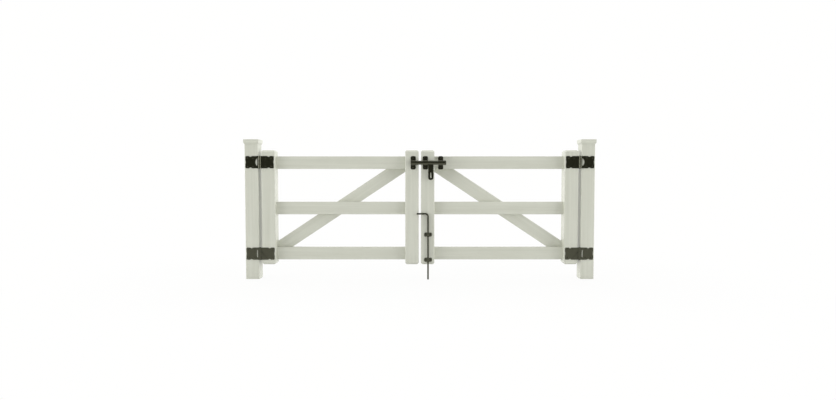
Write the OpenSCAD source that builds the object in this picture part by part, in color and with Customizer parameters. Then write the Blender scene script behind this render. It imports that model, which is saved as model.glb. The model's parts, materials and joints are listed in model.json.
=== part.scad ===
// Vinyl ranch gate: two posts, a pair of three-rail braced leaves, hinges, a slide bolt and a drop rod.
// Millimetres, +Z up, front towards -Y. The origin is the middle of the left post's foot, at ground level.

/* [Posts] */
// Width of a square post
post_w = 127; // [100:1:160]
// Wall of the post tube
post_wall = 3.8; // [2.5:0.1:6]
// Radius of the post's rounded corners
post_corner_r = 6; // [4:0.5:12]
// Rise of the post tube above the tops of the leaves
post_rise = 99; // [70:1:400]
// Clear opening between the two posts
clear_opening = 3048; // [2600:2:3660]
// Height of the concrete fill in a post's foot
core_height = 300; // [100:10:900]

/* [Post caps] */
// Wall of the cap's skirt
cap_wall = 2.6; // [1.5:0.1:4]
// Play between the cap's skirt and the post
cap_fit = 0.4; // [0.1:0.1:1]
// Height of the straight skirt at the cap's foot
cap_skirt_h = 6; // [3:1:60]
// Height of the sloping part between the skirt and the slab
cap_taper_h = 5; // [4:1:30]
// How far the slab stands out past the post
cap_overhang = 8.5; // [5:0.5:25]
// Height of the slab's edge
cap_slab_h = 34; // [10:1:45]
// Thickness of the slab over the top of the post
cap_lid_t = 3; // [2:0.5:8]
// Rise of the shallow crown on the slab
cap_crown = 4; // [1:0.5:15]

/* [Leaves] */
// Width and depth of a stile
stile_w = 127; // [100:1:150]
// Wall of the stile tube
stile_wall = 3.8; // [2.5:0.1:6]
// Radius of the stile's rounded corners
stile_corner_r = 6; // [4:0.5:12]
// Height of a leaf, stile caps included
leaf_height = 1081; // [960:1:1200]
// Gap under the leaves
ground_gap = 140; // [100:1:180]
// Gap between a post and its leaf
hinge_gap = 30; // [28:0.5:40]
// Gap between the two leaves
meeting_gap = 22; // [20:0.5:30]
// Height of a rail
rail_h = 120; // [100:1:140]
// Thickness of a rail
rail_t = 38; // [30:1:42]
// Wall of the rail tube
rail_wall = 2.5; // [1.5:0.1:4]
// Radius of the corners of the rails and braces
rail_corner_r = 4; // [3.2:0.1:6]
// How far a rail runs into a stile
rail_entry = 40; // [10:1:60]
// Play around a rail in its socket, none where the joint is glued
rail_fit = 0; // [0:0.1:0.5]
// Drop from the top of a stile to its top rail
top_rail_drop = 56; // [30:1:90]
// Rise from the foot of a stile to its bottom rail
bottom_rail_rise = 40; // [20:1:80]
// Width of the diagonal brace
brace_w = 124; // [90:1:140]
// Thickness of the diagonal brace
brace_t = 38; // [30:1:42]
// Rise of the brace's middle above the bottom rail's middle, at the hinge stile
brace_foot_rise = 38; // [20:1:60]
// Drop of the brace's middle below the top rail's middle, at the meeting stile
brace_head_drop = 12; // [0:1:40]
// Height of a stile cap's lid
lid_h = 16; // [15:0.5:24]
// Bevel around a stile cap's lid
lid_bevel = 13; // [4:0.5:14]
// Thickness of the lid's top
lid_t = 3; // [1.5:0.1:5]
// Depth of the plug under a stile cap's lid
plug_depth = 18; // [10:1:30]
// Play between a stile cap's plug and the tube
plug_fit = 0.3; // [0.1:0.1:1]

/* [Hinges] */
// Height of a hinge
hinge_h = 115; // [90:1:130]
// How far a hinge's middle stands above its rail's middle
hinge_rise = 3; // [-20:0.5:20]
// Reach of a hinge plate from the pin's axis
plate_reach = 133; // [110:1:136]
// Thickness of the hinge plates
plate_t = 5; // [3:0.5:8]
// Corner radius of the hinge plates
plate_corner_r = 11; // [5:1:18]
// Distance from the pin's axis to the notches in the long edges
notch_reach = 86; // [70:1:95]
// Radius of those notches
notch_r = 14; // [9:1:25]
// Depth of those notches
notch_depth = 8; // [4:1:15]
// Radius of the hollow in a plate's end
end_hollow_r = 45; // [35:1:90]
// Depth of the hollow in a plate's end
end_hollow_depth = 4; // [2:0.5:12]
// Length of the crescent window in a post's upper hinge plate
window_h = 77; // [50:1:84]
// Width of the crescent window
window_w = 20; // [8:0.5:24]
// Distance from the pin's axis to the crescent window
window_reach = 20; // [16:1:32]
// Length of the straight window in a post's lower hinge plate
straight_h = 68; // [50:1:84]
// Width of the straight window
straight_w = 11; // [8:0.5:18]
// Distance from the pin's axis to the middle of the straight window
straight_reach = 29.5; // [24:0.5:50]
// Outer radius of a knuckle
knuckle_r = 12; // [9:0.5:13]
// Radius of a hinge pin
pin_r = 6; // [4:0.5:7]
// Radial play of the leaf's knuckle on its pin
pin_play = 0.1; // [0.05:0.01:0.2]
// Gap between one knuckle and the next
knuckle_gap = 1; // [0.5:0.1:2]
// Radius of the button on each end of a pin
button_r = 10; // [8:0.5:12]
// Height of the button on each end of a pin
button_h = 5; // [3:0.5:8]
// How far a leaf opens, in degrees
leaf_swing = 105; // [90:1:110]

/* [Slide bolt] */
// Diameter of the bolt
bolt_d = 38; // [30:1:40]
// Drop of the bolt's axis below the top rail's middle
latch_drop = 3; // [-10:0.5:20]
// Wall of the bolt's hollow end
bolt_wall = 4; // [3:0.5:6]
// Distance from the stile's face to the bolt's axis
bolt_stand = 29; // [28:0.5:36]
// Play of the bolt in its guides
bolt_play = 0.5; // [0.3:0.1:1]
// Length of the bolt inside the keeper when shut
bolt_engagement = 10; // [6:1:20]
// Travel of the bolt
bolt_travel = 42; // [36:1:60]
// Width of a bolt guide, along the bolt
guide_w = 48; // [36:1:56]
// Height of a bolt guide
guide_h = 126; // [110:1:136]
// Thickness of a guide's plate
guide_plate_t = 5; // [3:0.5:8]
// Wall of the strap over the bolt
guide_strap_t = 4.5; // [3:0.5:8]
// Corner radius of a guide's plate
guide_corner_r = 15; // [8:1:17]
// Distance from the leaf's meeting edge to the keeper's middle
keeper_inset = 51; // [45:1:70]
// Distance from the leaf's meeting edge to the first guide's middle
guide_inset = 41; // [30:1:42]
// Radius of the spacers behind the outer guide
spacer_r = 9; // [5:0.5:12]
// Distance from the bolt's axis to each spacer
spacer_offset = 44; // [34:1:46]
// Radius of the knob on the bolt's end
knob_r = 21.5; // [21:0.5:26]
// Length of the knob
knob_l = 25; // [15:1:40]
// Rounding of the knob's rim
knob_round = 8; // [3:0.5:12]

/* [Bolt handle] */
// Width of the handle
handle_w = 50; // [36:1:54]
// Reach of the handle below the bolt's axis
handle_reach = 161; // [140:1:180]
// Corner radius of the handle's lower end
handle_corner_r = 20; // [8:1:26]
// Thickness of the handle's arm
handle_t = 6; // [4:0.5:8]
// Wall of the handle's collar round the bolt's neck
collar_wall = 4; // [3:0.5:6]
// Radial play of the collar on the neck
collar_play = 0.3; // [0.1:0.05:0.5]
// End play between the handle and the guides
handle_gap = 2; // [1:0.5:4]
// Width of the padlock slot at its lower end
slot_w = 14; // [9:0.5:20]
// Width of the padlock slot at its upper end
slot_top_w = 5; // [3:0.5:8]
// Length of the padlock slot
slot_l = 52; // [30:1:70]
// Width of the metal left below the padlock slot
slot_margin = 19; // [12:1:30]

/* [Drop rod] */
// Diameter of the rod
rod_d = 16; // [12:1:18]
// Distance from the leaf's meeting edge to the rod's axis
rod_inset = 66.5; // [48:0.5:80]
// Distance from the stile's face to the rod's axis
rod_stand = 14; // [13:0.5:20]
// Play of the rod in its guides
rod_play = 0.5; // [0.3:0.1:1]
// Travel of the rod when it is lifted
rod_lift = 150; // [80:5:165]
// Height of the rod's handle above the foot of the stile
rod_handle_rise = 481.5; // [450:0.5:560]
// Length of the rod's handle from the rod's axis to its tip
rod_handle_l = 109; // [80:1:130]
// Bend radius of the rod, at its centre line
rod_bend_r = 26; // [20:1:40]
// Height of the upper rod guide above the foot of the stile
upper_guide_rise = 284; // [260:1:360]
// Height of the lower rod guide above the foot of the stile
lower_guide_rise = 45; // [34:1:90]
// Width of a rod guide
rod_guide_w = 74; // [60:1:90]
// Height of a rod guide, along the rod
rod_guide_h = 38; // [30:1:50]
// Wall of the strap over the rod
rod_strap_t = 3.5; // [2:0.5:6]
// Corner radius of a rod guide's plate
rod_guide_corner_r = 13; // [6:1:14]
// Distance from the upper guide up to the joint in the rod
swivel_rise = 12; // [6:1:20]
// Radius of the peg that the rod's handle turns on
peg_r = 4; // [3:0.5:5]
// Length of that peg
peg_l = 30; // [15:1:45]
// Radial play of the handle on the peg
peg_play = 0.1; // [0.05:0.01:0.2]
// Play between the two parts of the rod, end to end
peg_end_play = 0.3; // [0.2:0.1:1]

/* [Hidden] */
$fn = 48;
left = -1;
right = 1;
vinyl = [0.78, 0.78, 0.73];
black = [0.09, 0.09, 0.08];
concrete = [0.55, 0.54, 0.52];
over = 1;                                     // how far a cutting shape runs past what it cuts
thin = 0.01;                                  // a sheet that only spans a hull
arc_steps = 16;                               // straight pieces in a computed arc

// Along X the gate is measured from the middle of the meeting gap, to the right.
mid_x = clear_opening / 2 + post_w / 2;
front_y = -post_w / 2;
post_in = clear_opening / 2;                  // inner face of a post
hinge_x = post_in - hinge_gap / 2;            // hinge axis
stile_out = post_in - hinge_gap;              // outer face of a hinge stile
stile_in = stile_out - stile_w;               // inner face of a hinge stile
meet_out = meeting_gap / 2;                   // meeting edge of a leaf
meet_in = meet_out + stile_w;                 // inner face of a meeting stile
stile_mid_y = front_y + stile_w / 2;
stile_back_y = front_y + stile_w;

// Heights
leaf_z = ground_gap;
leaf_top_z = ground_gap + leaf_height;
post_height = leaf_top_z + post_rise;
top_z = leaf_top_z - top_rail_drop - rail_h / 2;
bottom_z = leaf_z + bottom_rail_rise + rail_h / 2;
middle_z = (top_z + bottom_z) / 2;
latch_z = top_z - latch_drop;

// The brace lies flush with the stiles' backs, and the rails lie against its front.
brace_y = stile_back_y - brace_t / 2;
rail_y = stile_back_y - brace_t - rail_t / 2;
rail_front_y = rail_y - rail_t / 2;

// Latch, along X from the meeting gap
axis_y = front_y - plate_t / 2;               // hinge axes
bolt_r = bolt_d / 2;
bolt_y = front_y - bolt_stand;
keeper_x = -(meet_out + keeper_inset);
inner_guide_x = meet_out + guide_inset;
handle_x = inner_guide_x + guide_w / 2 + handle_gap + handle_w / 2;
outer_guide_x = handle_x + handle_w / 2 + bolt_travel + handle_gap + guide_w / 2;
bolt_start_x = keeper_x + guide_w / 2 - bolt_engagement;
bolt_end_x = outer_guide_x + guide_w / 2 + handle_gap;
neck_r = bolt_r - collar_wall - collar_play;

// Drop rod
rod_r = rod_d / 2;
rod_x = meet_out + rod_inset;
rod_y = front_y - rod_stand;
rod_top_z = leaf_z + rod_handle_rise;
upper_guide_z = leaf_z + upper_guide_rise;
lower_guide_z = leaf_z + lower_guide_rise;
swivel_z = upper_guide_z + rod_guide_h / 2 + swivel_rise;

module on_side(side) translate([mid_x, 0, 0]) mirror([side == left ? 1 : 0, 0, 0]) children();

// Shapes that several pieces share

module rounded(w, h, r) {
  square([w - 2 * r, h], center = true);
  square([w, h - 2 * r], center = true);
  for (x = [-1, 1], y = [-1, 1]) translate([x * (w / 2 - r), y * (h / 2 - r)]) circle(r);
}

module tube_outline(w, h, r, wall) difference() {
  rounded(w, h, r);
  rounded(w - 2 * wall, h - 2 * wall, r - wall * 0.7);
}

module upright_tube(w, r, wall, length) linear_extrude(length) tube_outline(w, w, r, wall);

module along_x(x_from, x_to) translate([x_from, 0, 0]) rotate([90, 0, 90]) linear_extrude(x_to - x_from) children();

module frustum(w_low, w_high, h) hull() {
  linear_extrude(thin) square(w_low, center = true);
  translate([0, 0, h - thin]) linear_extrude(thin) square(w_high, center = true);
}

// Posts

module post() color(vinyl) translate([post_in + post_w / 2, 0, 0])
  upright_tube(post_w, post_corner_r, post_wall, post_height);

module post_core() color(concrete) translate([post_in + post_w / 2, 0, 0])
  linear_extrude(core_height)
    rounded(post_w - 2 * post_wall, post_w - 2 * post_wall, post_corner_r - post_wall * 0.7);

module post_cap() {
  room = post_w + 2 * cap_fit;
  skirt = room + 2 * cap_wall;
  slab = post_w + 2 * cap_overhang;
  slab_z = cap_lid_t - cap_slab_h;
  taper_z = slab_z - cap_taper_h;
  foot_z = taper_z - cap_skirt_h;
  color(vinyl) translate([post_in + post_w / 2, 0, post_height]) {
    difference() {
      union() {
        translate([0, 0, foot_z]) linear_extrude(-foot_z) square(skirt, center = true);
        translate([0, 0, taper_z]) frustum(skirt, slab, cap_taper_h);
        translate([0, 0, slab_z]) linear_extrude(-slab_z) square(slab, center = true);
      }
      translate([0, 0, foot_z - over]) linear_extrude(over - foot_z) square(room, center = true);
    }
    linear_extrude(cap_lid_t) square(slab, center = true);
    translate([0, 0, cap_lid_t]) frustum(slab - 2 * cap_crown, slab / 3, cap_crown);
  }
}

// Hinges. Each is drawn about its own axis, with the post at +X and the leaf at -X.

module plate_outline() difference() {
  half_h = hinge_h / 2;
  union() {
    translate([plate_reach / 2, 0]) rounded(plate_reach, hinge_h, plate_corner_r);
    translate([0, -half_h]) square([2 * plate_corner_r, hinge_h]);
  }
  for (s = [-1, 1]) translate([notch_reach, s * (half_h + notch_r - notch_depth)]) circle(notch_r);
  translate([plate_reach + end_hollow_r - end_hollow_depth, 0]) circle(end_hollow_r);
}

// One half of a hinge: its plate, less the window in it, and knuckles over the given [from, to] heights
module hinge_half(knuckles, gaps, bore_r) difference() {
  union() {
    difference() {
      rotate([90, 0, 0]) linear_extrude(plate_t, center = true) difference() {
        plate_outline();
        children();
      }
      for (g = gaps) translate([0, 0, g[0] - knuckle_gap])
        cylinder(r = knuckle_r + knuckle_gap, h = g[1] - g[0] + 2 * knuckle_gap);
    }
    for (k = knuckles) translate([0, 0, k[0]]) cylinder(r = knuckle_r, h = k[1] - k[0]);
  }
  translate([0, 0, -hinge_h / 2 - over]) cylinder(r = bore_r, h = hinge_h + 2 * over);
}

// An arc closed by a straight side towards the knuckles
module crescent_window() intersection() {
  arc_r = (pow(window_h / 2, 2) + pow(window_w, 2)) / (2 * window_w);
  translate([window_reach + window_w - arc_r, 0]) circle(arc_r);
  translate([window_reach, -window_h]) square([2 * arc_r, 2 * window_h]);
}

module straight_window() translate([straight_reach, 0]) square([straight_w, straight_h], center = true);

knuckle_third = hinge_h / 6;
end_knuckles = [[-hinge_h / 2, -knuckle_third - knuckle_gap / 2], [knuckle_third + knuckle_gap / 2, hinge_h / 2]];
mid_knuckle = [[-knuckle_third + knuckle_gap / 2, knuckle_third - knuckle_gap / 2]];

module at_hinge(rail_z) translate([hinge_x, axis_y, rail_z + hinge_rise]) children();

module upper_post_plate() color(black) at_hinge(top_z)
  hinge_half(end_knuckles, mid_knuckle, pin_r) crescent_window();

module lower_post_plate() color(black) at_hinge(bottom_z)
  hinge_half(end_knuckles, mid_knuckle, pin_r) straight_window();

module leaf_plate(rail_z) color(black) at_hinge(rail_z)
  mirror([1, 0, 0]) hinge_half(mid_knuckle, end_knuckles, pin_r + pin_play);

module hinge_pin(rail_z) color(black) at_hinge(rail_z) {
  cylinder(r = pin_r, h = hinge_h, center = true);
  for (s = [0, 1]) mirror([0, 0, s]) translate([0, 0, hinge_h / 2]) rotate_extrude() button_outline();
}

// A short drum with a domed end
module button_outline() {
  dome_h = button_h / 2;
  dome_r = (pow(button_r, 2) + pow(dome_h, 2)) / (2 * dome_h);
  square([button_r, button_h - dome_h]);
  translate([0, button_h - dome_h]) intersection() {
    square([button_r, dome_h]);
    translate([0, dome_h - dome_r]) circle(dome_r);
  }
}

// Leaves

module stile(x_out, z_sockets, socket_x) color(vinyl) difference() {
  translate([x_out + stile_w / 2, stile_mid_y, leaf_z + lid_h])
    upright_tube(stile_w, stile_corner_r, stile_wall, leaf_height - 2 * lid_h);
  for (z = z_sockets) translate([0, rail_y, z])
    along_x(socket_x - over, socket_x + stile_wall + over)
      rounded(rail_t + 2 * rail_fit, rail_h + 2 * rail_fit, rail_corner_r);
}

module bevelled_lid() {
  top_w = stile_w - 2 * lid_bevel;
  linear_extrude(lid_h - lid_bevel) rounded(stile_w, stile_w, stile_corner_r);
  translate([0, 0, lid_h - lid_bevel]) hull() {
    linear_extrude(thin) rounded(stile_w, stile_w, stile_corner_r, $fn = 32);
    linear_extrude(lid_bevel) rounded(top_w, top_w, stile_corner_r / 3, $fn = 32);
  }
}

// A hollow lid, bevelled all round, on a ring that plugs the stile's end
module stile_caps(x_out) color(vinyl) for (top = [0, 1])
  translate([x_out + stile_w / 2, stile_mid_y, top ? leaf_top_z - lid_h : leaf_z + lid_h])
    mirror([0, 0, 1 - top]) {
      plug_w = stile_w - 2 * stile_wall - 2 * plug_fit;
      difference() {
        bevelled_lid();
        translate([0, 0, -over])
          frustum(plug_w - stile_wall, stile_w - 2 * lid_bevel - lid_t, lid_h - lid_t + over);
      }
      translate([0, 0, -plug_depth]) linear_extrude(plug_depth)
        tube_outline(plug_w, plug_w, stile_corner_r - stile_wall * 0.7, stile_wall / 2);
    }

module rail(z) color(vinyl) translate([0, rail_y, z])
  along_x(meet_in - rail_entry, stile_in + rail_entry) tube_outline(rail_t, rail_h, rail_corner_r, rail_wall);

module brace() {
  foot = [stile_in, bottom_z + brace_foot_rise];
  head = [meet_in, top_z - brace_head_drop];
  slope = atan2(head[1] - foot[1], head[0] - foot[0]);
  length = norm(head - foot);
  ends = brace_w * 2;
  color(vinyl) intersection() {
    translate([foot[0], brace_y, foot[1]]) rotate([0, -slope, 0])
      along_x(-ends, length + ends) tube_outline(brace_t, brace_w, rail_corner_r, rail_wall);
    translate([meet_in, brace_y - brace_t, bottom_z - rail_h / 2])
      cube([stile_in - meet_in, 2 * brace_t, top_z - bottom_z + rail_h]);
  }
}

// Latch and drop rod

// A guide plate, seen from the front, with a strap over a bar that runs along X
module strap_guide(w, h, corner_r, bore_r, strap_t, stand) difference() {
  union() {
    rotate([90, 0, 0]) linear_extrude(guide_plate_t) rounded(w, h, corner_r);
    translate([0, -stand, 0]) rotate([0, 90, 0]) cylinder(r = bore_r + strap_t, h = w, center = true);
    translate([-w / 2, -stand, -bore_r - strap_t]) cube([w, stand, 2 * (bore_r + strap_t)]);
  }
  translate([0, -stand, 0]) rotate([0, 90, 0]) cylinder(r = bore_r, h = w + 2 * over, center = true);
}

module bolt_guide(x) color(black) translate([mid_x + x, front_y, latch_z])
  strap_guide(guide_w, guide_h, guide_corner_r, bolt_r + bolt_play, guide_strap_t, bolt_stand);

module outer_guide_spacers() color(black) for (s = [-1, 1])
  translate([mid_x + outer_guide_x, front_y, latch_z + s * spacer_offset]) rotate([-90, 0, 0])
    cylinder(r = spacer_r, h = rail_front_y - front_y);

module slide_bolt() color(black) translate([mid_x, bolt_y, latch_z]) rotate([0, 90, 0]) difference() {
  rotate_extrude() {
    translate([0, bolt_start_x]) square([bolt_r, handle_x - handle_w / 2 - handle_gap / 2 - bolt_start_x]);
    translate([0, bolt_start_x]) square([neck_r, bolt_end_x - bolt_start_x]);
    translate([0, handle_x + handle_w / 2 + handle_gap / 2])
      square([bolt_r, bolt_end_x - handle_x - handle_w / 2 - handle_gap / 2]);
    translate([0, bolt_end_x]) knob_outline();
  }
  translate([0, 0, bolt_start_x - over])
    cylinder(r = bolt_r - bolt_wall, h = handle_x - handle_w - bolt_start_x + over);
}

module knob_outline() {
  square([knob_r, knob_l - knob_round]);
  square([knob_r - knob_round, knob_l]);
  translate([knob_r - knob_round, knob_l - knob_round]) intersection() {
    circle(knob_round);
    square(knob_round);
  }
}

function arc(r, from, to, centre) =
  [for (i = [0:arc_steps]) let (a = from + (to - from) * i / arc_steps) centre + r * [cos(a), sin(a)]];

// A slot whose wide end is centred on the origin and whose narrow end is above it
module teardrop(wide_r, narrow_r, length) {
  rise = length - wide_r - narrow_r;
  lean = asin((wide_r - narrow_r) / rise);
  polygon(concat(arc(wide_r, 180 - lean, 360 + lean, [0, 0]), arc(narrow_r, lean, 180 - lean, [0, rise])));
}

module bolt_handle() color(black) translate([mid_x + handle_x, bolt_y, latch_z]) difference() {
  arm_top = neck_r / 2;                       // hidden in the collar
  union() {
    rotate([0, 90, 0]) cylinder(r = bolt_r, h = handle_w, center = true);
    rotate([90, 0, 0]) linear_extrude(handle_t, center = true) difference() {
      translate([0, (arm_top - handle_reach) / 2]) rounded(handle_w, handle_reach + arm_top, handle_corner_r);
      translate([0, slot_margin + slot_w / 2 - handle_reach]) teardrop(slot_w / 2, slot_top_w / 2, slot_l);
    }
  }
  rotate([0, 90, 0]) cylinder(r = neck_r + collar_play, h = handle_w + 2 * over, center = true);
}

module rod_guide(z) color(black) translate([mid_x + rod_x, front_y, z]) rotate([0, 90, 0])
  strap_guide(rod_guide_h, rod_guide_w, rod_guide_corner_r, rod_r + rod_play, rod_strap_t, rod_stand);

module drop_rod() color(black) translate([mid_x + rod_x, rod_y, 0]) {
  cylinder(r = rod_r, h = swivel_z);
  cylinder(r = peg_r, h = swivel_z + peg_l);
}

module drop_rod_handle() {
  shank_z = swivel_z + peg_end_play;
  bend_z = rod_top_z - rod_bend_r;
  color(black) translate([mid_x + rod_x, rod_y, 0]) {
    difference() {
      translate([0, 0, shank_z]) cylinder(r = rod_r, h = bend_z - shank_z);
      translate([0, 0, shank_z - over])
        cylinder(r = peg_r + peg_play, h = swivel_z + peg_l + peg_end_play - shank_z + over);
    }
    translate([-rod_bend_r, 0, bend_z]) rotate([90, 0, 0]) rotate_extrude(angle = 90)
      translate([rod_bend_r, 0]) circle(rod_r);
    translate([-rod_bend_r, 0, rod_top_z]) rotate([0, -90, 0])
      cylinder(r = rod_r, h = rod_handle_l - rod_bend_r - rod_r);
    translate([-rod_handle_l + rod_r, 0, rod_top_z]) sphere(rod_r);
  }
}

rail_heights = [bottom_z, middle_z, top_z];

module hinge_stile(side) on_side(side) stile(stile_in, rail_heights, stile_in);
module meeting_stile(side) on_side(side) stile(meet_out, rail_heights, meet_in - stile_wall);

on_side(left) post();  // left_post
on_side(left) post_core();  // left_post_core
on_side(left) post_cap();  // left_post_cap
on_side(left) upper_post_plate();  // left_upper_post_plate
on_side(left) lower_post_plate();  // left_lower_post_plate
on_side(left) hinge_pin(top_z);  // left_upper_hinge_pin
on_side(left) hinge_pin(bottom_z);  // left_lower_hinge_pin
hinge_stile(left);  // left_hinge_stile
meeting_stile(left);  // left_meeting_stile
on_side(left) stile_caps(stile_in);  // left_hinge_stile_caps
on_side(left) stile_caps(meet_out);  // left_meeting_stile_caps
on_side(left) rail(top_z);  // left_top_rail
on_side(left) rail(middle_z);  // left_middle_rail
on_side(left) rail(bottom_z);  // left_bottom_rail
on_side(left) brace();  // left_brace
on_side(left) leaf_plate(top_z);  // left_upper_leaf_plate
on_side(left) leaf_plate(bottom_z);  // left_lower_leaf_plate
bolt_guide(keeper_x);  // latch_keeper
on_side(right) post();  // right_post
on_side(right) post_core();  // right_post_core
on_side(right) post_cap();  // right_post_cap
on_side(right) upper_post_plate();  // right_upper_post_plate
on_side(right) lower_post_plate();  // right_lower_post_plate
on_side(right) hinge_pin(top_z);  // right_upper_hinge_pin
on_side(right) hinge_pin(bottom_z);  // right_lower_hinge_pin
hinge_stile(right);  // right_hinge_stile
meeting_stile(right);  // right_meeting_stile
on_side(right) stile_caps(stile_in);  // right_hinge_stile_caps
on_side(right) stile_caps(meet_out);  // right_meeting_stile_caps
on_side(right) rail(top_z);  // right_top_rail
on_side(right) rail(middle_z);  // right_middle_rail
on_side(right) rail(bottom_z);  // right_bottom_rail
on_side(right) brace();  // right_brace
on_side(right) leaf_plate(top_z);  // right_upper_leaf_plate
on_side(right) leaf_plate(bottom_z);  // right_lower_leaf_plate
bolt_guide(inner_guide_x);  // inner_bolt_guide
bolt_guide(outer_guide_x);  // outer_bolt_guide
outer_guide_spacers();
slide_bolt();
bolt_handle();
rod_guide(upper_guide_z);  // upper_rod_guide
rod_guide(lower_guide_z);  // lower_rod_guide
drop_rod();
drop_rod_handle();
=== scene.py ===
# Vinyl ranch gate: finishes, moulded caps, bolt heads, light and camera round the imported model.
# Metres, +Z up, front towards -Y. The origin is the middle of the left post's foot.
import json
import math

import bpy
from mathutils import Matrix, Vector

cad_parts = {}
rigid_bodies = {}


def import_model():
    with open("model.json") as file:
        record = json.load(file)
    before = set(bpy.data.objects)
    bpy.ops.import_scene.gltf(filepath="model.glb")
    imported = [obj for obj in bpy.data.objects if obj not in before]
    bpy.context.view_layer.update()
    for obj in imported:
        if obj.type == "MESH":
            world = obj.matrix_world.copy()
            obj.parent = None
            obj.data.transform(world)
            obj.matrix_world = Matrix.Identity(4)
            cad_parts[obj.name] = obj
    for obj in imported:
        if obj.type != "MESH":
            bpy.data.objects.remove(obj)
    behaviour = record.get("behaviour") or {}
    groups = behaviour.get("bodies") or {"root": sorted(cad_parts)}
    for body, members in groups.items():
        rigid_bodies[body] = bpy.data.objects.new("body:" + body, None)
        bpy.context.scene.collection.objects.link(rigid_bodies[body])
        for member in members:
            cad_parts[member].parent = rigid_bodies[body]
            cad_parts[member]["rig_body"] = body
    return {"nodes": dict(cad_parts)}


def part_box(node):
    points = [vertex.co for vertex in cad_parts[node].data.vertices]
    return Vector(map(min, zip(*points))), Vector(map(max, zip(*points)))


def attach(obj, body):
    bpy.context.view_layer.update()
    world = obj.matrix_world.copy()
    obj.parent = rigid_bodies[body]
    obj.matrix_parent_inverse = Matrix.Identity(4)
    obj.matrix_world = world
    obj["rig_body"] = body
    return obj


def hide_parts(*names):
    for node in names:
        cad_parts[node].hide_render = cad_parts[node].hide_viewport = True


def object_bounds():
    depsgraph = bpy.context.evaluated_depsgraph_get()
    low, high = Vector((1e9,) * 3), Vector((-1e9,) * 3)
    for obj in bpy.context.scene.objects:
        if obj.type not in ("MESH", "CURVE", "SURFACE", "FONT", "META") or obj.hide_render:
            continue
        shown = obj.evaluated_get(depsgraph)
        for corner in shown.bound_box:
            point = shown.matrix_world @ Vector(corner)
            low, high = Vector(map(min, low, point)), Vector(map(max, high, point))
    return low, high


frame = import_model()
cadLow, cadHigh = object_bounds()
nodes = frame["nodes"]
sides = ("left", "right")
middleX = (cadLow.x + cadHigh.x) / 2
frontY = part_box("left_post")[0].y
print("frame loaded,", len(nodes), "nodes")


# Shader tools

# A value flowing between shader nodes. Python maths on it adds Math nodes.
class Signal:
    def __init__(self, shader, socket):
        self.shader = shader
        self.socket = socket

    def maths(self, operation, first, second):
        return self.shader.maths(operation, first, second)

    def output(self, name):
        return Signal(self.shader, self.socket.node.outputs[name])

    def __add__(self, other):
        return self.maths("ADD", self, other)

    def __radd__(self, other):
        return self.maths("ADD", other, self)

    def __sub__(self, other):
        return self.maths("SUBTRACT", self, other)

    def __rsub__(self, other):
        return self.maths("SUBTRACT", other, self)

    def __mul__(self, other):
        return self.maths("MULTIPLY", self, other)

    def __rmul__(self, other):
        return self.maths("MULTIPLY", other, self)

    def __pow__(self, other):
        return self.maths("POWER", self, other)

    def __abs__(self):
        return self.maths("ABSOLUTE", self, 0.0)


class Shader:
    def __init__(self, owner):
        owner.use_nodes = True
        self.tree = owner.node_tree
        self.tree.nodes.clear()

    # Any node: its settings are set first, then the values or links of its sockets.
    def node(self, kind, settings=None, inputs=None, output=0):
        made = self.tree.nodes.new(kind)
        for name, value in (settings or {}).items():
            if name == "stops":
                for element, (place, colour) in zip(made.color_ramp.elements, value):
                    element.position = place
                    element.color = colour
            else:
                setattr(made, name, value)
        for name, value in (inputs or {}).items():
            if isinstance(value, Signal):
                self.tree.links.new(value.socket, made.inputs[name])
            else:
                made.inputs[name].default_value = value
        return Signal(self, made.outputs[output]) if made.outputs else made

    def maths(self, operation, first, second):
        return self.node("ShaderNodeMath", {"operation": operation}, {0: first, 1: second})

    def objectCoordinates(self):
        return self.node("ShaderNodeTexCoord", output="Object")

    def turned(self, vector, angles):
        values = {"Vector": vector, "Rotation": angles}
        return self.node("ShaderNodeVectorRotate", {"rotation_type": "EULER_XYZ"}, values)

    def mapped(self, vector, scale):
        return self.node("ShaderNodeMapping", {}, {"Vector": vector, "Scale": scale})

    def noise(self, vector, scale, detail, roughness=0.5, distortion=0.0):
        values = {
            "Vector": vector,
            "Scale": scale,
            "Detail": detail,
            "Roughness": roughness,
            "Distortion": distortion,
        }
        return self.node("ShaderNodeTexNoise", {}, values, "Fac")

    # From one colour or grey to another over a range of the factor
    def ramp(self, factor, span, first, second):
        colours = [(value,) * 3 if isinstance(value, float) else value for value in (first, second)]
        stops = [(place, (*colour, 1)) for place, colour in zip(span, colours)]
        return self.node("ShaderNodeValToRGB", {"stops": stops}, {"Fac": factor})

    def bump(self, height, strength, distance):
        return self.node("ShaderNodeBump", {}, {"Height": height, "Strength": strength, "Distance": distance})

    def smoothStep(self, value, start, end):
        values = {"Value": value, "From Min": start, "From Max": end}
        return self.node("ShaderNodeMapRange", {"interpolation_type": "SMOOTHSTEP"}, values)

    def finish(self, surface):
        self.node("ShaderNodeOutputMaterial", {}, {"Surface": surface})


def newMaterial(name):
    material = bpy.data.materials.new(name)
    return material, Shader(material)


# A signal from 0 to 1, made to run from the span's start to its end
def between(span, signal):
    start, end = span
    return start + (end - start) * signal


# Vinyl with an embossed wood grain that runs along its piece

vinylFinish = {
    "pale": (0.66, 0.67, 0.585),
    "deep": (0.575, 0.585, 0.500),
    "toneRange": (0.32, 0.66),  # where the tone turns from deep to pale
    "roughness": (0.16, 0.28),
    "refraction": 1.5,
    "fibreWidth": 0.0022,
    "fibreLength": 0.13,
    "fibreShare": 0.25,  # the three shares of the tone add up to 1
    "bandWidth": 0.022,
    "bandLength": 1.1,
    "bandShare": 0.6,
    "patchScale": 3.1,
    "patchShare": 0.15,
    "poreRange": (0.38, 0.56),  # where the fibres sink into pores
    "poreDepth": 0.7,
    "bandDepth": 0.5,
    "embossDepth": 0.00035,
    "embossStrength": 0.6,
}


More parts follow.
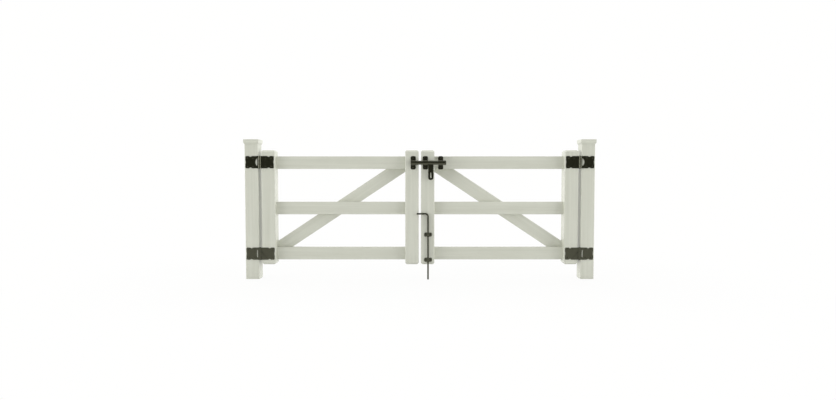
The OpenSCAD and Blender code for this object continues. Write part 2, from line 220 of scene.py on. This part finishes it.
def makeVinyl(name, turn, embossed=True):
    look = vinylFinish
    material, shader = newMaterial(name)
    place = shader.objectCoordinates()
    along = shader.turned(place, turn)  # the grain runs along its X
    fibreScale = (1 / look["fibreLength"], 1 / look["fibreWidth"], 1 / look["fibreWidth"])
    bandScale = (1 / look["bandLength"], 1 / look["bandWidth"], 1 / look["bandWidth"])
    fibres = shader.noise(shader.mapped(along, fibreScale), 1.0, detail=3.0, roughness=0.6)
    bands = shader.noise(shader.mapped(along, bandScale), 1.0, detail=3.0, roughness=0.55, distortion=0.4)
    patches = shader.noise(place, look["patchScale"], detail=2.0)
    tone = look["bandShare"] * bands + look["fibreShare"] * fibres + look["patchShare"] * patches
    colour = shader.ramp(tone, look["toneRange"], look["deep"], look["pale"])
    roughness = between(look["roughness"], fibres)
    inputs = {"Base Color": colour, "Roughness": roughness, "IOR": look["refraction"]}
    if embossed:
        pores = shader.ramp(fibres, look["poreRange"], 0.0, 1.0)
        height = look["poreDepth"] * pores + look["bandDepth"] * bands
        inputs["Normal"] = shader.bump(height, look["embossStrength"], look["embossDepth"])
    shader.finish(shader.node("ShaderNodeBsdfPrincipled", {}, inputs))
    return material


# Black gloss paint over steel

steelFinish = {
    "paint": (0.0080, 0.0085, 0.0035),
    "worn": (0.0140, 0.0145, 0.0080),
    "wornRange": (0.35, 0.8),  # where the cloud turns the paint worn
    "cloudScale": 38.0,
    "roughness": (0.09, 0.17),
    "refraction": 1.68,
    "glossTint": (1.0, 1.0, 0.74),
    "peelSize": 0.004,
    "peelDepth": 0.00004,
    "peelStrength": 0.5,
}


def makeBlackSteel():
    look = steelFinish
    material, shader = newMaterial("blackSteel")
    place = shader.objectCoordinates()
    cloud = shader.noise(place, look["cloudScale"], detail=4.0, roughness=0.6)
    peel = shader.noise(place, 1 / look["peelSize"], detail=2.0)
    inputs = {
        "Base Color": shader.ramp(cloud, look["wornRange"], look["paint"], look["worn"]),
        "Roughness": between(look["roughness"], cloud),
        "IOR": look["refraction"],
        "Specular Tint": (*look["glossTint"], 1),
        "Normal": shader.bump(peel, look["peelStrength"], look["peelDepth"]),
    }
    shader.finish(shader.node("ShaderNodeBsdfPrincipled", {}, inputs))
    return material


# Concrete in the posts' feet

concreteFinish = {
    "dark": (0.30, 0.29, 0.27),
    "light": (0.47, 0.46, 0.43),
    "toneRange": (0.3, 0.7),
    "gritScale": 420.0,
    "gritDepth": 0.001,
    "gritStrength": 0.8,
    "stainScale": 18.0,
    "roughness": 0.9,
}


def makeConcrete():
    look = concreteFinish
    material, shader = newMaterial("concreteFill")
    place = shader.objectCoordinates()
    grit = shader.noise(place, look["gritScale"], detail=5.0, roughness=0.7)
    stain = shader.noise(place, look["stainScale"], detail=3.0)
    inputs = {
        "Base Color": shader.ramp(0.5 * grit + 0.5 * stain, look["toneRange"], look["dark"], look["light"]),
        "Roughness": look["roughness"],
        "Normal": shader.bump(grit, look["gritStrength"], look["gritDepth"]),
    }
    shader.finish(shader.node("ShaderNodeBsdfPrincipled", {}, inputs))
    return material


# How steeply a brace rises to the middle of the gate, from the corners of its two ends
def braceSlope(side):
    corners = [v.co for v in nodes[side + "_brace"].data.vertices]
    atEdge = 0.002  # corners this near to an end belong to it
    braceLow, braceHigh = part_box(side + "_brace")

    def middleAt(pick):
        end = pick(corner.x for corner in corners)
        heights = [corner.z for corner in corners if abs(corner.x - end) < atEdge]
        return (min(heights) + max(heights)) / 2

    leftEnd, rightEnd = middleAt(min), middleAt(max)
    rise = rightEnd - leftEnd if side == "left" else leftEnd - rightEnd
    return math.atan2(rise, braceHigh.x - braceLow.x)


quarter = math.pi / 2
vinylAlongX = makeVinyl("vinylAlongX", (0, 0, 0))
vinylUpright = makeVinyl("vinylUpright", (0, quarter, 0))
vinylSmooth = makeVinyl("vinylSmooth", (0, 0, 0), embossed=False)
vinylBraces = {
    "left": makeVinyl("vinylLeftBrace", (0, braceSlope("left"), 0)),
    "right": makeVinyl("vinylRightBrace", (0, -braceSlope("right"), 0)),
}
blackSteel = makeBlackSteel()
concreteFill = makeConcrete()


def finishOf(name):
    side = name.split("_")[0]
    if name.endswith("core"):
        return concreteFill
    if name.endswith("rail"):
        return vinylAlongX
    if name.endswith("brace"):
        return vinylBraces[side]
    if name.endswith(("cap", "caps")):
        return vinylSmooth
    if name.endswith(("post", "stile")):
        return vinylUpright
    return blackSteel


for name, node in nodes.items():
    node.data.materials.clear()
    node.data.materials.append(finishOf(name))
print("materials on", len(nodes), "nodes")


# Modelling tools

def deselectAll():
    bpy.ops.object.select_all(action="DESELECT")


def selectOnly(piece):
    deselectAll()
    piece.select_set(True)
    bpy.context.view_layer.objects.active = piece


# Names the primitive that was just added and moves its place into its mesh.
def startPiece(name):
    piece = bpy.context.object
    piece.name = name
    piece.data.name = name
    bpy.ops.object.transform_apply(location=True, rotation=True, scale=True)
    return piece


def editMesh():
    bpy.ops.object.mode_set(mode="EDIT")


def backToObject():
    bpy.ops.object.mode_set(mode="OBJECT")


# Leaves the piece in edit mode, with those faces selected that face in the given direction.
def selectFacing(piece, direction):
    selectOnly(piece)
    editMesh()
    bpy.ops.mesh.select_mode(type="FACE")
    bpy.ops.mesh.select_all(action="DESELECT")
    backToObject()
    for face in piece.data.polygons:
        face.select = face.normal.dot(Vector(direction)) > 0.9  # within about 25 degrees
    editMesh()


def extrudeBy(x, y, z):
    bpy.ops.mesh.extrude_region_move(TRANSFORM_OT_translate={"value": (x, y, z)})


def resizeBy(ratios, centre):
    bpy.ops.transform.resize(value=ratios, center_override=centre)


# Adds a modifier with the given settings and applies it.
def applyModifier(piece, kind, settings):
    modifier = piece.modifiers.new(kind.lower(), kind)
    for name, value in settings.items():
        setattr(modifier, name, value)
    bpy.ops.object.modifier_apply(modifier=modifier.name)


sharpFrom = {"rounded": 35, "shaded": 32}  # degrees


# Rounds the sharp edges and shades the rest smooth, with flat faces left flat.
def roundEdges(piece, width, segments):
    selectOnly(piece)
    bevel = {
        "width": width,
        "segments": segments,
        "limit_method": "ANGLE",
        "angle_limit": math.radians(sharpFrom["rounded"]),
        "use_clamp_overlap": True,
    }
    applyModifier(piece, "BEVEL", bevel)
    bpy.ops.object.shade_smooth_by_angle(angle=math.radians(sharpFrom["shaded"]))
    applyModifier(piece, "WEIGHTED_NORMAL", {"keep_sharp": True})


def giveFinish(piece, material, body):
    piece.data.materials.clear()
    piece.data.materials.append(material)
    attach(piece, body)


# A copy with a mesh of its own, moved in its mesh
def copyTo(source, name, shift):
    piece = bpy.data.objects.new(name, source.data.copy())
    bpy.context.scene.collection.objects.link(piece)
    selectOnly(piece)
    piece.location = shift
    bpy.ops.object.transform_apply(location=True, rotation=False, scale=False)
    return piece


def joinAs(name, pieces):
    deselectAll()
    for piece in pieces:
        piece.select_set(True)
    bpy.context.view_layer.objects.active = pieces[0]
    bpy.ops.object.join()
    joined = bpy.context.object
    joined.name = name
    joined.data.name = name
    return joined


def camelName(name):
    return name.title().replace("_", "")


def middleOf(name):
    low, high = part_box(name)
    return (low + high) / 2


# Post caps: a moulded slab with a shallow crown, a cove down to a short skirt, and a hollow underside

capShape = {
    "skirtHeight": 0.006,
    "skirtWall": 0.0026,
    "skirtPlay": 0.0004,
    "ledge": 0.0035,  # width of the slab's flat underside
    "coveHeight": 0.005,
    "coveSteps": 4,
    "crown": 0.004,
    "crownFlat": 0.047,  # width of the flat in the crown's middle
    "topThickness": 0.003,
    "edgeRadius": 0.0018,
    "edgeSteps": 3,
}


def makePostCap(side):
    shape = capShape
    low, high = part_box(side + "_post_cap")
    postLow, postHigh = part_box(side + "_post")
    width = high.x - low.x
    skirtWidth = postHigh.x - postLow.x + 2 * (shape["skirtWall"] + shape["skirtPlay"])
    slabTop = high.z - shape["crown"]
    slabFoot = low.z + shape["skirtHeight"] + shape["coveHeight"]
    middle = ((low.x + high.x) / 2, (low.y + high.y) / 2, (slabTop + slabFoot) / 2)
    deselectAll()
    bpy.ops.mesh.primitive_cube_add(size=1, location=middle, scale=(width, width, slabTop - slabFoot))
    cap = startPiece(side + "MouldedCap")
    selectFacing(cap, (0, 0, 1))
    bpy.ops.mesh.inset(thickness=shape["crown"])
    bpy.ops.mesh.inset(thickness=width / 2 - shape["crown"] - shape["crownFlat"] / 2)
    bpy.ops.transform.translate(value=(0, 0, shape["crown"]))
    backToObject()
    selectFacing(cap, (0, 0, -1))
    bpy.ops.mesh.inset(thickness=shape["ledge"])
    reached = width - 2 * shape["ledge"]
    coveWidth = reached - skirtWidth
    for step in range(1, shape["coveSteps"] + 1):
        across = skirtWidth + coveWidth * (1 - step / shape["coveSteps"]) ** 2
        extrudeBy(0, 0, -shape["coveHeight"] / shape["coveSteps"])
        resizeBy((across / reached, across / reached, 1), middle)
        reached = across
    extrudeBy(0, 0, -shape["skirtHeight"])
    bpy.ops.mesh.inset(thickness=shape["skirtWall"])
    extrudeBy(0, 0, slabTop - shape["topThickness"] - low.z)
    backToObject()
    roundEdges(cap, shape["edgeRadius"], shape["edgeSteps"])
    giveFinish(cap, vinylSmooth, "posts")
    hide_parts(side + "_post_cap")


# Bolt heads: a dome on a washer, with a hexagon socket

boltHeadShape = {
    "radius": 0.0062,
    "height": 0.0034,
    "sides": 32,
    "domeTurn": 1.288,  # radians that the dome's side curves over before its flat top
    "domeSteps": 5,
    "washerRadius": 0.0076,
    "washerHeight": 0.0012,
    "socketRadius": 0.0024,
    "socketDepth": 0.0022,
    "edgeRadius": 0.00025,
    "edgeSteps": 2,
}


# A round or hexagonal bar that points to the front
def addBar(name, sideCount, radius, length, middleY):
    deselectAll()
    bpy.ops.mesh.primitive_cylinder_add(
        vertices=sideCount, radius=radius, depth=length, location=(0, middleY, 0), rotation=(quarter, 0, 0)
    )
    return startPiece(name)


# Built at the origin, pointing to the front
def makeBoltHead():
    shape = boltHeadShape
    washer = shape["washerHeight"]
    head = addBar("boltHead", shape["sides"], shape["washerRadius"], washer, -washer / 2)
    selectFacing(head, (0, -1, 0))
    bpy.ops.mesh.inset(thickness=shape["washerRadius"] - shape["radius"])
    step = shape["domeTurn"] / shape["domeSteps"]
    reached = 0.0
    for number in range(1, shape["domeSteps"] + 1):
        height = shape["height"] * math.sin(number * step) / math.sin(shape["domeTurn"])
        extrudeBy(0, reached - height, 0)
        ratio = math.cos(number * step) / math.cos((number - 1) * step)
        resizeBy((ratio, 1, ratio), (0, -washer - height, 0))
        reached = height
    backToObject()
    top = -washer - shape["height"]
    socket = addBar("socketCutter", 6, shape["socketRadius"], 2 * shape["socketDepth"], top)
    selectOnly(head)
    applyModifier(head, "BOOLEAN", {"operation": "DIFFERENCE", "object": socket})
    bpy.data.objects.remove(socket)
    roundEdges(head, shape["edgeRadius"], shape["edgeSteps"])
    return head


# One joined piece of bolt heads on the given places of a plate's front
def fitBoltHeads(name, places, body):
    heads = [copyTo(boltHead, name + str(number), place) for number, place in enumerate(places)]
    giveFinish(joinAs(name, heads), blackSteel, body)


boltPlaces = {
    "plate": 0.005,  # thickness of every plate that they go through
    "hingeReaches": (0.058, 0.112),  # from the pin's axis
    "hingeRise": 0.039,
    "boltGuideRise": 0.044,
    "rodGuideReach": 0.0255,
}
plateFront = frontY - boltPlaces["plate"]


def fitHingeBolts(side, level):
    pinMiddle = middleOf(f"{side}_{level}_hinge_pin")
    outward = -1 if side == "left" else 1
    for half, way, body in (("post", outward, "posts"), ("leaf", -outward, side + "_leaf")):
        places = [
            (pinMiddle.x + way * reach, plateFront, pinMiddle.z + up * boltPlaces["hingeRise"])
            for reach in boltPlaces["hingeReaches"]
            for up in (-1, 1)
        ]
        fitBoltHeads(f"{side}{level.title()}{half.title()}PlateBolts", places, body)


# Two heads on a guide or keeper, this far across and up from its middle on either side
def fitGuideBolts(name, across, up):
    middle = middleOf(name)
    places = [(middle.x + way * across, plateFront, middle.z + way * up) for way in (-1, 1)]
    fitBoltHeads(camelName(name) + "Bolts", places, nodes[name]["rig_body"])


# Black hardware with softened edges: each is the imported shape, merged and bevelled

softenedEdges = {"plate": 0.0009, "guide": 0.0009, "keeper": 0.0009, "bolt_handle": 0.0012}
softening = {
    "mergeWithin": 0.00001,
    "flatWithin": 0.4,  # degrees
    "steps": 2,
}


def soften(name, width):
    source = nodes[name]
    piece = copyTo(source, camelName(name) + "Finished", (0, 0, 0))
    editMesh()
    bpy.ops.mesh.select_mode(type="VERT")
    bpy.ops.mesh.select_all(action="SELECT")
    bpy.ops.mesh.remove_doubles(threshold=softening["mergeWithin"])
    # The slotted handle's flat faces stay in parts: as single faces they fold over themselves.
    if name != "bolt_handle":
        bpy.ops.mesh.dissolve_limited(angle_limit=math.radians(softening["flatWithin"]))
    backToObject()
    roundEdges(piece, width, softening["steps"])
    giveFinish(piece, blackSteel, source["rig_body"])
    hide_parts(name)


for side in sides:
    makePostCap(side)
boltHead = makeBoltHead()
for side in sides:
    for level in ("upper", "lower"):
        fitHingeBolts(side, level)
for name in ("latch_keeper", "inner_bolt_guide", "outer_bolt_guide"):
    fitGuideBolts(name, 0, boltPlaces["boltGuideRise"])
for name in ("upper_rod_guide", "lower_rod_guide"):
    fitGuideBolts(name, boltPlaces["rodGuideReach"], 0)
bpy.data.objects.remove(boltHead)
for name in nodes:
    for word, width in softenedEdges.items():
        if name.endswith(word):
            soften(name, width)
print("caps, bolt heads and softened hardware made")


# Stage: floor, studio light and camera

stageLook = {
    "white": (1.0, 1.0, 0.995),
    "floorSize": 80,
    "floorColour": (0.66, 0.66, 0.655),
    "floorPlain": 0.94,  # share of plain white in the floor beside the gate
    "pastPosts": 0.06,  # the floor beside the gate ends this far past the posts' middles
    "fade": (0.5, 2.0),  # where the floor turns plain white, in metres from there
    "darkFloor": (3.6, 7.0),  # where the floor in front turns dark to what mirrors it
    "skyBehind": 1.5,
    "skyInFront": 0.39,
    "skyTurns": (-0.8, -0.2),  # how far to the back a direction points where the sky turns
    "mirroredInFront": 0.12,
    "mirrorTurns": (-0.6, 0.0),
}


# Signals for the rays that look straight at the stage, and for those that mirror it
def lookingRays(shader):
    path = shader.node("ShaderNodeLightPath")
    return path.output("Is Camera Ray") + path.output("Is Transmission Ray"), path.output("Is Glossy Ray")


# The floor takes the gate's shadow near its foot, and turns plain white further out.
def makeFloor():
    look = stageLook
    deselectAll()
    bpy.ops.mesh.primitive_plane_add(size=look["floorSize"], location=(middleX, 0, 0))
    floor = startPiece("floor")
    material, shader = newMaterial("palePaper")
    place = shader.node("ShaderNodeSeparateXYZ", {}, {"Vector": shader.objectCoordinates()})
    aside = shader.maths("MAXIMUM", abs(place.output("X") - middleX) - (middleX + look["pastPosts"]), 0.0)
    behind = place.output("Y")
    fade = shader.smoothStep((aside * aside + behind * behind) ** 0.5, *look["fade"])
    plain = between((look["floorPlain"], 1), fade)
    dark = shader.smoothStep(0 - behind, *look["darkFloor"])
    looking, mirrored = lookingRays(shader)
    strength = looking + mirrored * between((1, look["mirroredInFront"]), dark)
    paper = shader.node("ShaderNodeBsdfDiffuse", {}, {"Color": (*look["floorColour"], 1)})
    white = shader.node("ShaderNodeEmission", {}, {"Color": (*look["white"], 1), "Strength": strength})
    shader.finish(shader.node("ShaderNodeMixShader", {}, {0: plain * looking + mirrored, 1: paper, 2: white}))
    floor.data.materials.append(material)


# White wherever it is looked at, and lighter behind the gate than in front where it gives light.
def makeWorld():
    look = stageLook
    world = bpy.data.worlds.new("studio")
    bpy.context.scene.world = world
    shader = Shader(world)
    direction = shader.node("ShaderNodeTexCoord", output="Generated")
    behind = shader.node("ShaderNodeSeparateXYZ", {}, {"Vector": direction}).output("Y")
    looking, mirrored = lookingRays(shader)
    light = between((look["skyInFront"], look["skyBehind"]), shader.smoothStep(behind, *look["skyTurns"]))
    mirror = between((look["mirroredInFront"], 1), shader.smoothStep(behind, *look["mirrorTurns"]))
    strength = looking + mirrored * mirror + (1 - looking - mirrored) * light
    background = shader.node("ShaderNodeBackground", {}, {"Color": (*look["white"], 1), "Strength": strength})
    shader.node("ShaderNodeOutputWorld", {}, {"Surface": background})


softbox = {
    "aside": 12,
    "inFront": 5.4,
    "height": 1.8,
    "aimHeight": 1.0,
    "size": (6, 3),
    "power": 440,
}


def makeSoftbox(name, way):
    data = bpy.data.lights.new(name, "AREA")
    data.shape = "RECTANGLE"
    data.size, data.size_y = softbox["size"]
    data.energy = softbox["power"]
    lamp = bpy.data.objects.new(name, data)
    bpy.context.scene.collection.objects.link(lamp)
    lamp.location = (middleX + way * softbox["aside"], -softbox["inFront"], softbox["height"])
    aim = Vector((middleX, 0, softbox["aimHeight"])) - lamp.location
    lamp.rotation_euler = aim.to_track_quat("-Z", "Y").to_euler()


cameraPlace = {
    "lens": 24,
    "sensor": 36,
    "distance": 5.258,  # from the posts' front faces
    "height": 0.972,
    "aside": -0.0173,  # from the middle of the gate
    "tilt": -2.4,  # degrees, down
}


def makeCamera():
    data = bpy.data.cameras.new("camera")
    data.lens = cameraPlace["lens"]
    data.sensor_width = cameraPlace["sensor"]
    camera = bpy.data.objects.new("camera", data)
    bpy.context.scene.collection.objects.link(camera)
    across = middleX + cameraPlace["aside"]
    camera.location = (across, frontY - cameraPlace["distance"], cameraPlace["height"])
    camera.rotation_euler = (math.radians(90 + cameraPlace["tilt"]), 0, 0)
    bpy.context.scene.camera = camera


makeFloor()
makeWorld()
makeSoftbox("leftSoftbox", -1)
makeSoftbox("rightSoftbox", 1)
makeCamera()
bpy.context.scene.view_settings.view_transform = "Standard"
print("stage ready")
